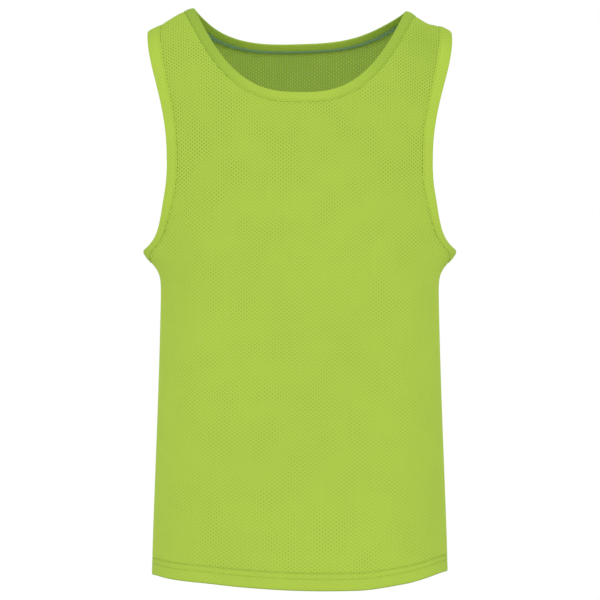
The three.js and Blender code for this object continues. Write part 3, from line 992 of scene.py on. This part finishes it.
def cut_out(piece, cut):
    """Cuts the neck and the armholes, leaving the raw edge that goes into each binding."""
    centres = triples(piece.data.polygons, "center")
    down = cut.down(centres[:, 0], centres[:, 1])
    across = np.abs(cut.across(centres[:, 0], down))
    neck_half, armhole_half = cut.raw_edges()
    waste = (down < 0) | (across < neck_half(down)) | (across > armhole_half(down))
    choose(piece, "FACE", waste)
    bpy.ops.mesh.delete(type="FACE")
    bpy.ops.object.mode_set(mode="OBJECT")


def choose_holes(piece, cut, start, end):
    """Picks every other crossing between two levels, clear of the seams and the doubled hem."""
    points = points_of(piece)
    column = np.rint(points[:, 0] / cut.column_step).astype(int)
    row = np.rint(points[:, 1] / cut.row_step).astype(int)
    down = cut.down(points[:, 0], points[:, 1])
    across = np.abs(cut.across(points[:, 0], down))
    neck_half, armhole_half = panel_edges(cut.side, HOLES_INSET["neck"], HOLES_INSET["armhole"])
    holed = (column + row) % 2 == 0
    holed &= np.abs(column) <= cut.half_columns - SIDE_SOLID_COLUMNS
    holed &= down >= SHOULDER_SOLID
    holed &= row < cut.rows - HEM_SOLID_ROWS[cut.side]
    holed &= (across > neck_half(down)) & (across < armhole_half(down))
    holed &= ~off_grid(points, cut)
    holed &= (down >= start) & (down < end)
    choose(piece, "VERT", holed)


def knit_holes(piece, cut):
    """Opens the holes of the mesh, one zone after another."""
    zones = HOLES_FROM[cut.side]
    ends = [start for start, _ in zones[1:]] + [HEM_DOWN[cut.side]]
    for (start, reach), end in zip(zones, ends):
        choose_holes(piece, cut, start, end)
        bpy.ops.mesh.bevel(offset=reach, segments=1, affect="VERTICES", clamp_overlap=True)
        bpy.ops.mesh.delete(type="ONLY_FACE")
        bpy.ops.object.mode_set(mode="OBJECT")


def off_grid(points, cut):
    """Which points are the rims of holes, because they lie between the grid's crossings."""
    steps = points[:, :2] / (cut.column_step, cut.row_step)
    return np.any(np.abs(steps - np.rint(steps)) > ON_GRID, axis=-1)


def raw_edge(piece):
    """Which points lie on the edge of the cloth or of a hole, where an edge has only one face."""
    loops = np.empty(len(piece.data.loops), dtype=int)
    piece.data.loops.foreach_get("edge_index", loops)
    ends = np.empty(2 * len(piece.data.edges), dtype=int)
    piece.data.edges.foreach_get("vertices", ends)
    single = np.bincount(loops, minlength=len(piece.data.edges)) == 1
    on_edge = np.zeros(len(piece.data.vertices), dtype=bool)
    on_edge[ends.reshape(-1, 2)[single].ravel()] = True
    return on_edge


def cloth_relief(cut, flat, across, down, rim):
    """How high each point of a panel lies over the solids' outer face."""
    distance, measure = near_seams(cut.side, across, down)
    row = flat[:, 1] / cut.row_step
    from_fold = np.abs(row - cut.rows)
    turned = row > cut.rows + ON_ROW
    height = np.where(turned, TURNED_HEIGHT, CLOTH_HEIGHT)
    height = np.where(from_fold < ON_ROW, (TURNED_HEIGHT + CLOTH_HEIGHT) / 2, height)
    height += UNDER_BAND_HEIGHT * bell(distance, UNDER_BAND_WIDE)
    height += np.where(rim, RIM_HEIGHT, KNOT_HEIGHT)
    height += PUCKER * pucker(measure) * bell(distance, PUCKER_REACH)
    for stitched in STITCHED_ROWS:
        sink = bell(from_fold - stitched, STITCH_SINK_ROWS)
        height += np.where(turned, -STITCH_SINK, STITCH_SINK) * sink
    near_hem = bell(cut.to_hem(down) - HEM_DEPTH, 2 * PUCKER_REACH)
    height += PUCKER * pucker(across + HEM_PUCKER_START) * near_hem
    below = ease((down - cut.underarm) / SIDE_SEAM_FADE + 0.5)
    height += SIDE_SEAM_HEIGHT * bell(cut.to_side(across, down), SIDE_SEAM_WIDE) * below
    return height


def cloth_painted_shade(cut, flat, across, down):
    """How much painted shade darkens each point of a panel."""
    to_side = cut.to_side(across, down)
    from_spot = np.hypot(across - STRAP_DIM["across"], down - STRAP_DIM["down"])
    painted_shade = STRAP_DIM["strength"] * bell(from_spot, STRAP_DIM["wide"])
    painted_shade += TOP_DIM * bell(down, TOP_DIM_REACH)
    painted_shade += SHOULDER_DIM * bell(down, SHOULDER_DIM_REACH)
    painted_shade += UNDERARM_DIM * bell(np.hypot(to_side, down - cut.underarm), UNDERARM_DIM_REACH)
    end = bell(to_side, HEM_DIM_REACH)
    painted_shade += HEM_DIM * end * (cut.to_hem(down) < HEM_DEPTH)
    rows_up = np.abs(flat[:, 1] / cut.row_step - cut.rows)
    for stitched, (middle, ends) in HEM_LINE_DIM.items():
        painted_shade += lerp(middle, ends, end) * (np.abs(rows_up - stitched) < ON_ROW)
    return painted_shade


def hole_show(cut, across, down):
    """How strongly the painted shade of the holes shows at each point of a panel."""
    lower = ease((down - HOLES_SHOWN["from"]) / HOLES_SHOWN["over"])
    show = lerp(HOLES_SHOWN["chest"], HOLES_SHOWN["below"], lower)
    arm_across, arm_run = armhole_edge(cut.side, np.linspace(0, 2, SEAM_POINTS), ARMHOLE_BAND)
    distance, _ = nearest(arm_across, np.abs(arm_run), np.abs(across), down)
    show += PULLED * bell(distance, PULLED_REACH)
    end = bell(cut.to_side(across, down), HEM_DIM_REACH)
    return np.where(cut.to_hem(down) < HEM_DEPTH, lerp(HEM_HOLES, 1, end), show)


def hang_panel(piece, cut):
    """Moves a flat panel onto the garment's form, and gives it its map."""
    flat = points_of(piece)
    rim = off_grid(flat, cut)
    down = cut.down(flat[:, 0], flat[:, 1])
    down = np.where(raw_edge(piece) & (down < SHOULDER_SNAP), 0, down)
    across = cut.across(flat[:, 0], down)
    run = cut.side * np.maximum(down, SHOULDER_GAP)
    height = cloth_relief(cut, flat, across, down, rim)
    # Painted shade, and how strongly the holes' painted shade shows.
    set_level(piece, "painted_shade", cloth_painted_shade(cut, flat, across, down))
    set_level(piece, "holes", hole_show(cut, across, down))
    # Inside the back neck, painted light fills the holes and painted shade darkens the columns.
    if cut.side == BACK_SIDE:
        set_level(piece, "yoke", 1 - ease((down - YOKE_DOWN) / YOKE_FADE))
    points = off_cloth(across, run, height)
    points[:, 1] = np.where(down <= SHOULDER_GAP, -cut.side * SHOULDER_OVERLAP, points[:, 1])
    corner = np.clip(1 - cut.to_side(across, down) / CORNER_WIDE, 0, 1) ** 2
    points[:, 2] += CORNER_LIFT * corner * bell(cut.to_hem(down), CORNER_HIGH)
    set_map(piece, np.stack([flat[:, 0] / cut.span + 0.5, 1 - flat[:, 1] / cut.span], axis=-1))
    move_points(piece, points)
    only(piece)
    if cut.side == FRONT_SIDE:
        edit_all(piece, bpy.ops.mesh.flip_normals)
    bpy.ops.object.shade_smooth()


def flat_area(cut):
    """The area of one panel's cut in square metres, its turned-up hem included."""
    downs = np.linspace(0, HEM_DOWN[cut.side], AREA_POINTS)
    neck_half, armhole_half = cut.raw_edges()
    girth = girth_at(cut.side * np.maximum(downs, cut.underarm))
    outer = np.minimum(armhole_half(downs), girth)
    width = 2 * np.clip(outer - np.maximum(neck_half(downs), 0), 0, None)
    body = np.sum((width[1:] + width[:-1]) / 2 * np.diff(downs))
    return float((body + 2 * girth[-1] * HEM_DEPTH) * METRE**2)


def make_panel(name, side):
    """One panel of mesh cloth, cut, holed and hung."""
    cut = Cut(side)
    piece = flat_grid(name, cut)
    cut_out(piece, cut)
    knit_holes(piece, cut)
    hang_panel(piece, cut)
    return piece, cut


def mesh_piece(name, points, faces, places, material):
    """A finished piece from its points in millimetres, its faces and its map."""
    data = bpy.data.meshes.new(name)
    data.from_pydata((points * METRE).tolist(), [], faces)
    piece = bpy.data.objects.new(name, data)
    bpy.context.scene.collection.objects.link(piece)
    set_map(piece, places)
    piece.data.materials.append(material)
    edit_all(piece, bpy.ops.mesh.normals_make_consistent, inside=False)
    bpy.ops.object.shade_smooth()
    return piece


def swept_faces(places_round, wide, closed):
    """Faces of a tube of so many places and points in its section; a closed one is a ring."""
    faces = []
    last = places_round if closed else places_round - 1
    for r in range(last):
        for c in range(wide):
            a = r * wide + c
            b = r * wide + (c + 1) % wide
            step = wide if r < places_round - 1 else -r * wide
            faces.append((a, b, b + step, a + step))
    if not closed:
        faces.append(tuple(range(wide))[::-1])
        faces.append(tuple((places_round - 1) * wide + c for c in range(wide)))
    return faces


def neck_place(t, inset):
    """Round the neck: t from 0 to 2 over the front, and on to 4 over the back."""
    front = neck_edge(FRONT_SIDE, np.clip(t, 0, 2) - 1, inset)
    back = neck_edge(BACK_SIDE, 3 - np.clip(t, 2, 4), inset)
    on_front = t <= 2
    return np.where(on_front, front[0], back[0]), np.where(on_front, front[1], back[1])


def armhole_place(t, inset, wearer_side):
    """Round an armhole: t from 0 at the shoulder to 2 at the underarm, and up the back to 4."""
    front = armhole_edge(FRONT_SIDE, np.clip(t, 0, 2), inset)
    back = armhole_edge(BACK_SIDE, 4 - np.clip(t, 2, 4), inset)
    on_front = t <= 2
    across = np.where(on_front, front[0], back[0])
    return wearer_side * across, np.where(on_front, front[1], back[1])


def right_armhole(t, inset):
    return armhole_place(t, inset, -1)


def left_armhole(t, inset):
    return armhole_place(t, inset, 1)


def even_round(place, start=0, end=FULL_ROUND):
    """Values of t that lie evenly along an edge, and the length of that edge."""
    fine = np.linspace(start, end, LINE_POINTS)
    length = walked(cloth(*place(fine, 0)))
    count = max(LEAST_STEPS, round(length[-1] / BAND_STEP))
    return np.interp(np.linspace(0, length[-1], count + 1), length, fine), float(length[-1])


def band_points(place, t, inset, offsets, heights):
    """Points at given distances from the fold of a band, one row for each place along it."""
    fold_across, fold_run = place(t, 0)
    seam_across, seam_run = place(t, inset)
    share = np.asarray(offsets) / inset
    across = lerp(fold_across[:, None], seam_across[:, None], share)
    run = lerp(fold_run[:, None], seam_run[:, None], share)
    return off_cloth(across, run, heights)


def section_of(band):
    """The binding's section for a band of this width: distances from the fold, and heights."""
    offsets = [band - away if edge == "seam" else away for edge, away, _ in BAND_SECTION]
    return np.array(offsets), np.array([height for _, _, height in BAND_SECTION])


def neck_painted_shade(t, seam_away):
    """How much painted shade darkens the neck's binding: towards the shoulders, and along its seam and its
    stitched groove.
    """
    away = np.abs(t % 2 - 1)
    near_shoulder = ease((away - NECK_BAND_DIM["from"]) / (1 - NECK_BAND_DIM["from"]))[:, None]
    share = near_shoulder * np.where(t < 1, 1, NECK_EDGE_ELSEWHERE)[:, None]
    line = lerp(*NECK_EDGE_DIM, share) * (seam_away < EDGE_WIDE)
    line += NECK_GROOVE_DIM * (np.abs(seam_away - TOPSTITCH_FROM_SEAM) < GROOVE_WIDE)
    shoulder = lerp(*NECK_BAND_DIM["shoulders"], ease(t / 2))[:, None]
    return lerp(NECK_BAND_DIM["middle"], shoulder, near_shoulder) + line


def armhole_painted_shade(t, seam_away):
    """How much painted shade darkens an armhole's binding: at the shoulder and under the arm."""
    shoulder = ease(1 - np.minimum(t, FULL_ROUND - t) / ARMHOLE_BAND_DIM["reach"])
    underarm = bell(t - 2, ARMHOLE_BAND_DIM["spread"])
    broad = ARMHOLE_BAND_DIM["shoulder"] * shoulder + ARMHOLE_BAND_DIM["underarm"] * underarm
    return broad[:, None] + ARMHOLE_EDGE_DIM * (seam_away < EDGE_WIDE)


def grid_places(along, section):
    """A flat place for every point of a strip: so far along it, and so far round its section."""
    grid = np.broadcast_arrays(along[:, None], walked(section)[None, :])
    return np.stack(grid, axis=-1).reshape(-1, 2)


def make_binding(name, place, band, material, span, painted_shade_of):
    """A folded strip round an opening, closed into a ring."""
    t, length = even_round(place)
    t = t[:-1]
    offsets, heights = section_of(band)
    along = np.arange(len(t)) * length / len(t)
    ripple = BAND_RIPPLE * pucker(along * BAND_RIPPLE_PACE)
    crown = np.sin(np.pi * np.clip(offsets / band, 0, 1))
    rows = heights[None, :] + ripple[:, None] * crown[None, :]
    points = band_points(place, t, band, offsets, rows)
    places = grid_places(along, np.stack([offsets, heights], axis=-1)) * METRE / span
    faces = swept_faces(len(t), len(offsets), True)
    piece = mesh_piece(name, points.reshape(-1, 3), faces, places, material)
    # The binding's painted shade.
    set_level(piece, "painted_shade", painted_shade_of(t, (band - offsets)[None, :]))
    return piece, length


def model_stitch():
    """One stitch, a short thread that dives into the cloth at both ends."""
    bpy.ops.object.select_all(action="DESELECT")
    bpy.ops.mesh.primitive_uv_sphere_add(segments=6, ring_count=4, radius=1, rotation=(0, math.pi / 2, 0))
    stitch = bpy.context.active_object
    bpy.ops.object.transform_apply(location=True, rotation=True, scale=True)
    points = points_of(stitch)
    faces = [tuple(p.vertices) for p in stitch.data.polygons]
    bpy.data.objects.remove(stitch)
    return points * (STITCH_LONG / 2, STITCH_WIDE, STITCH_HIGH), faces


def lay_stitches(name, rows, material, stitch):
    """Copies of the stitch along rows of points; each row is starts, ends and outward points."""
    shape, faces = stitch
    points = []
    for starts, ends, outward in rows:
        middle = (starts + ends) / 2
        forward = ends - starts
        forward /= np.linalg.norm(forward, axis=-1, keepdims=True)
        side = np.cross(outward, forward)
        side /= np.linalg.norm(side, axis=-1, keepdims=True)
        up = np.cross(forward, side)
        placed = (
            middle[:, None, :]
            + shape[None, :, 0:1] * forward[:, None, :]
            + shape[None, :, 1:2] * side[:, None, :]
            + shape[None, :, 2:3] * up[:, None, :]
        )
        points.append(placed.reshape(-1, 3))
    points = np.concatenate(points)
    count = len(points) // len(shape)
    all_faces = [tuple(i + k * len(shape) for i in face) for k in range(count) for face in faces]
    side_cells = math.ceil(math.sqrt(count))
    cell = np.repeat(np.arange(count), len(shape))
    spot = np.tile(shape[:, :2] / (STITCH_LONG * STITCH_ROOM) + 0.5, (count, 1))
    places = (np.stack([cell % side_cells, cell // side_cells], axis=-1) + spot) / side_cells
    return mesh_piece(name, points, all_faces, places, material)


def stitch_row(line, start, end, height):
    """Starts, ends and outward directions of stitches along a line, which gives across and run."""
    t = np.linspace(start, end, LINE_POINTS)
    length = walked(off_cloth(*line(t), np.full_like(t, height)))
    count = int(length[-1] / STITCH_PITCH)
    starts = np.arange(count) * STITCH_PITCH + (STITCH_PITCH - STITCH_LONG) / 2

    def at(distance, over):
        level = np.full_like(distance, height + over)
        return off_cloth(*line(np.interp(distance, length, t)), level)

    middle = starts + STITCH_LONG / 2
    return at(starts, 0), at(starts + STITCH_LONG, 0), at(middle, 1) - at(middle, 0)


def level_row(run, end, height):
    """Stitches level across a panel, at one distance down it."""
    return stitch_row(lambda t: (t, np.full_like(t, run)), -end, end, height)


def hem_stitches(cut):
    """Two rows of stitches on the outside of a hem, and the zigzag under them inside."""
    girth = float(girth_at(cut.side * HEM_DOWN[cut.side]))
    outside = CLOTH_HEIGHT + STITCH_SINK + STITCH_OVER["outside"]
    inside = TURNED_HEIGHT - STITCH_SINK + STITCH_OVER["inside"]
    low, high = (HEM_DOWN[cut.side] - stitched * cut.row_step for stitched in STITCHED_ROWS)
    rows = [level_row(cut.side * down, girth - STITCH_CLEAR["outside"], outside) for down in (low, high)]
    end = girth - STITCH_CLEAR["inside"]
    steps = np.arange(-end, end, STITCH_PITCH)
    zigzag = np.where(np.arange(len(steps)) % 2 == 0, low, high)
    rows.append(zigzag_row(steps, cut.side * zigzag, inside))
    return rows


def zigzag_row(across, run, height):
    """Stitches that cross to and fro between two rows."""
    points = off_cloth(across, run, np.full_like(across, height))
    a = (across[1:] + across[:-1]) / 2
    r = (run[1:] + run[:-1]) / 2
    level = np.full_like(a, height)
    outward = off_cloth(a, r, level + 1) - off_cloth(a, r, level)
    return points[:-1], points[1:], outward


def band_stitches(place, band):
    """The row of stitches along a binding's seam."""
    share = 1 - TOPSTITCH_FROM_SEAM / band

    def line(t):
        return tuple(lerp(f, s, share) for f, s in zip(place(t, 0), place(t, band)))

    return stitch_row(line, 0, FULL_ROUND, TOPSTITCH_HEIGHT)


def strip(name, near, far, height, thick, material, length, wide, ripple):
    """A strip of cloth on the inside, between two lines given as across and run."""
    section = np.array(STRIP_SECTION)
    shares, depths = section.T
    across = lerp(near[0][:, None], far[0][:, None], shares)
    run = lerp(near[1][:, None], far[1][:, None], shares)
    count = len(near[0])
    along = np.arange(count) * length / count
    wave = ripple * pucker(along)
    heights = height - thick * depths[None, :] + wave[:, None] * shares[None, :]
    points = off_cloth(across, run, heights).reshape(-1, 3)
    places = grid_places(along, section * (wide, thick)) / max(length, wide)
    places = places * (1 - 2 * STRIP_MARGIN) + STRIP_MARGIN
    faces = swept_faces(count, len(STRIP_SECTION), False)
    return mesh_piece(name, points, faces, places, material)


def allowance(name, near, far, row, material, length):
    """An overlocked seam allowance, at the height and with the ripple that its row gives."""
    return strip(
        name, near, far, row["height"], ALLOWANCE_THICK, material, length, ALLOWANCE_WIDE, row["ripple"]
    )


def side_allowance(name, wearer_side, material):
    """The overlocked allowance of a side seam, pressed to the back."""
    row = SIDE_ALLOWANCE
    start = float(run_at(BACK_SIDE, UNDERARM_FALL)) + row["below"]
    run = np.linspace(start, HEM_DOWN[BACK_SIDE] - row["above hem"], row["points"])
    girth = girth_at(run)
    near = (wearer_side * (girth - row["from seam"]), run)
    far = (wearer_side * (girth - ALLOWANCE_WIDE), run)
    return allowance(name, near, far, row, material, float(run[-1] - run[0]))


def shoulder_allowance(name, wearer_side, material):
    """The overlocked allowance of a shoulder seam, pressed to the back."""
    row = SHOULDER_ALLOWANCE
    inner = NECK_HALF_WIDTH + NECK_BAND - row["tucked"]
    outer = SHOULDER_OUT - ARMHOLE_BAND + row["tucked"]
    across = wearer_side * np.linspace(inner, outer, row["points"])
    near = (across, np.full_like(across, -row["forward"]))
    far = (across, np.full_like(across, ALLOWANCE_WIDE - row["forward"]))
    return allowance(name, near, far, row, material, float(outer - inner))


def neck_tape(name, material):
    """The narrow covered seam under the back neck's binding, inside, painted dark as the shadow under the
    binding's edge.
    """
    t, length = even_round(neck_place, BACK_MIDDLE - TAPE_SHARE, BACK_MIDDLE + TAPE_SHARE)
    fold = neck_place(t, 0)
    seam = neck_place(t, NECK_BAND)
    wide = TAPE_WIDE + TAPE_WIDER * (t - BACK_MIDDLE) ** 2
    near, far = (
        tuple(lerp(f, s, offset / NECK_BAND) for f, s in zip(fold, seam))
        for offset in (TAPE_FROM_FOLD, TAPE_FROM_FOLD + wide)
    )
    return strip(name, near, far, TAPE_HEIGHT, TAPE_THICK, material, length, TAPE_WIDE, TAPE_RIPPLE)


def add_camera():
    """The photo's camera."""
    camera = bpy.data.objects.new("camera", bpy.data.cameras.new("camera"))
    camera.data.sensor_width = SENSOR
    camera.data.lens = LENS
    camera.location = CAMERA_PLACE
    camera.rotation_euler = (math.pi / 2, 0, 0)
    bpy.context.scene.collection.objects.link(camera)
    bpy.context.scene.camera = camera


def area_light(name, place, power):
    """A round soft lamp that points at the bib."""
    data = bpy.data.lights.new(name, "AREA")
    data.shape = "DISK"
    data.size = LAMP_SIZE
    data.energy = power
    light = bpy.data.objects.new(name, data)
    light.location = place
    towards = np.array(LAMP_TARGET) - np.array(place)
    flat = math.hypot(towards[0], towards[1])
    light.rotation_euler = (math.atan2(flat, -towards[2]), 0, math.atan2(-towards[0], towards[1]))
    bpy.context.scene.collection.objects.link(light)


def add_surround():
    """A white surround that is a little weaker for what it lights than for the camera."""
    world = bpy.data.worlds.new("studio")
    bpy.context.scene.world = world
    world.use_nodes = True
    tree = world.node_tree
    background = tree.nodes["Background"]
    background.inputs["Color"].default_value = (1, 1, 1, 1)
    seen = tree.nodes.new("ShaderNodeLightPath").outputs["Is Camera Ray"]
    strength = tree.nodes.new("ShaderNodeMapRange")
    strength.inputs["To Min"].default_value = SURROUND_LIGHT
    strength.inputs["To Max"].default_value = 1
    tree.links.new(seen, strength.inputs["Value"])
    tree.links.new(strength.outputs["Result"], background.inputs["Strength"])


def add_floor():
    """A pale floor well below the garment."""
    bpy.ops.object.select_all(action="DESELECT")
    bpy.ops.mesh.primitive_plane_add(size=FLOOR_SIZE, location=FLOOR_PLACE)
    floor = bpy.context.active_object
    floor.name = "floor"
    nodes = Nodes("floor_paint")
    drift = nodes.noise(nodes.object_place(), *FLOOR_NOISE)
    light = shades(FLOOR_SHADE)
    dark = shades(np.array(FLOOR_SHADE) - FLOOR_DRIFT)
    nodes.paint(nodes.mix(drift, dark, light))
    floor.data.materials.append(nodes.finish(*FLOOR_FINISH))


def add_studio():
    """The white surround, the soft lamps and the floor."""
    bpy.context.scene.view_settings.view_transform = "Standard"
    add_surround()
    for name, place, power in LAMPS:
        area_light(name, place, power)
    add_floor()


def declare(piece):
    """Says which body a piece rides on."""
    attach(piece, "root")


def seam_allowances():
    """The four overlocked allowances inside the back."""
    overlock = band_material("overlocked_edge", OVERLOCK_SHADE, STRIP_SPAN, OVERLOCK_RIB, 0)
    return [
        side_allowance("side_seam_right", -1, overlock),
        side_allowance("side_seam_left", 1, overlock),
        shoulder_allowance("shoulder_seam_right", -1, overlock),
        shoulder_allowance("shoulder_seam_left", 1, overlock),
    ]


def build_panels(thread, stitch):
    """Both panels, with their hem stitches and the allowances of their seams."""
    seams = {FRONT_SIDE: "hem_stitches_front", BACK_SIDE: "hem_stitches_back"}
    nodes_of = {FRONT_SIDE: "front_panel", BACK_SIDE: "back_panel"}
    extras = {BACK_SIDE: seam_allowances(), FRONT_SIDE: []}
    for side in (FRONT_SIDE, BACK_SIDE):
        piece, cut = make_panel("cloth_" + nodes_of[side], side)
        piece.data.materials.append(mesh_cloth_material("mesh_cloth_" + nodes_of[side], cut))
        extras[side].append(lay_stitches(seams[side], hem_stitches(cut), thread, stitch))
        for extra in extras[side]:
            declare(extra)
        declare(piece)
        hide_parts(nodes_of[side])
        flat = (2 * float(girth_at(side * HEM_DOWN[side])) * METRE, cut.length * METRE)
        flat_area(cut)


def build_bindings(thread, stitch):
    """The three folded bindings with their stitches, and the tape inside the back neck, painted dark as
    shadow.
    """
    band = band_material("binding_knit", BAND_SHADE, BAND_SPAN, RIB, BAND_LOOK["holes"])
    # The tape is painted dark as the shadow under the neck binding's edge.
    shadow_tape_knit = band_material("painted_shadow_tape", TAPE_SHADOW_SHADE, STRIP_SPAN, OVERLOCK_RIB, 0)
    tape = neck_tape("back_neck_shadow_tape", shadow_tape_knit)
    bands = {
        "neck_binding": (neck_place, NECK_BAND, neck_painted_shade, [tape]),
        "armhole_binding_right": (right_armhole, ARMHOLE_BAND, armhole_painted_shade, []),
        "armhole_binding_left": (left_armhole, ARMHOLE_BAND, armhole_painted_shade, []),
    }
    for node, (place, width, painted_shade_of, others) in bands.items():
        piece, length = make_binding("folded_" + node, place, width, band, BAND_SPAN, painted_shade_of)
        row = band_stitches(place, width)
        others.append(lay_stitches(node + "_stitches", [row], thread, stitch))
        for other in others:
            declare(other)
        declare(piece)
        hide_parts(node)


def build_bib():
    """Everything that replaces the solids."""
    stitch = model_stitch()
    thread = thread_material("sewing_thread", THREAD_SHADE)
    build_panels(thread, stitch)
    build_bindings(thread, stitch)


add_camera()
add_studio()
build_bib()
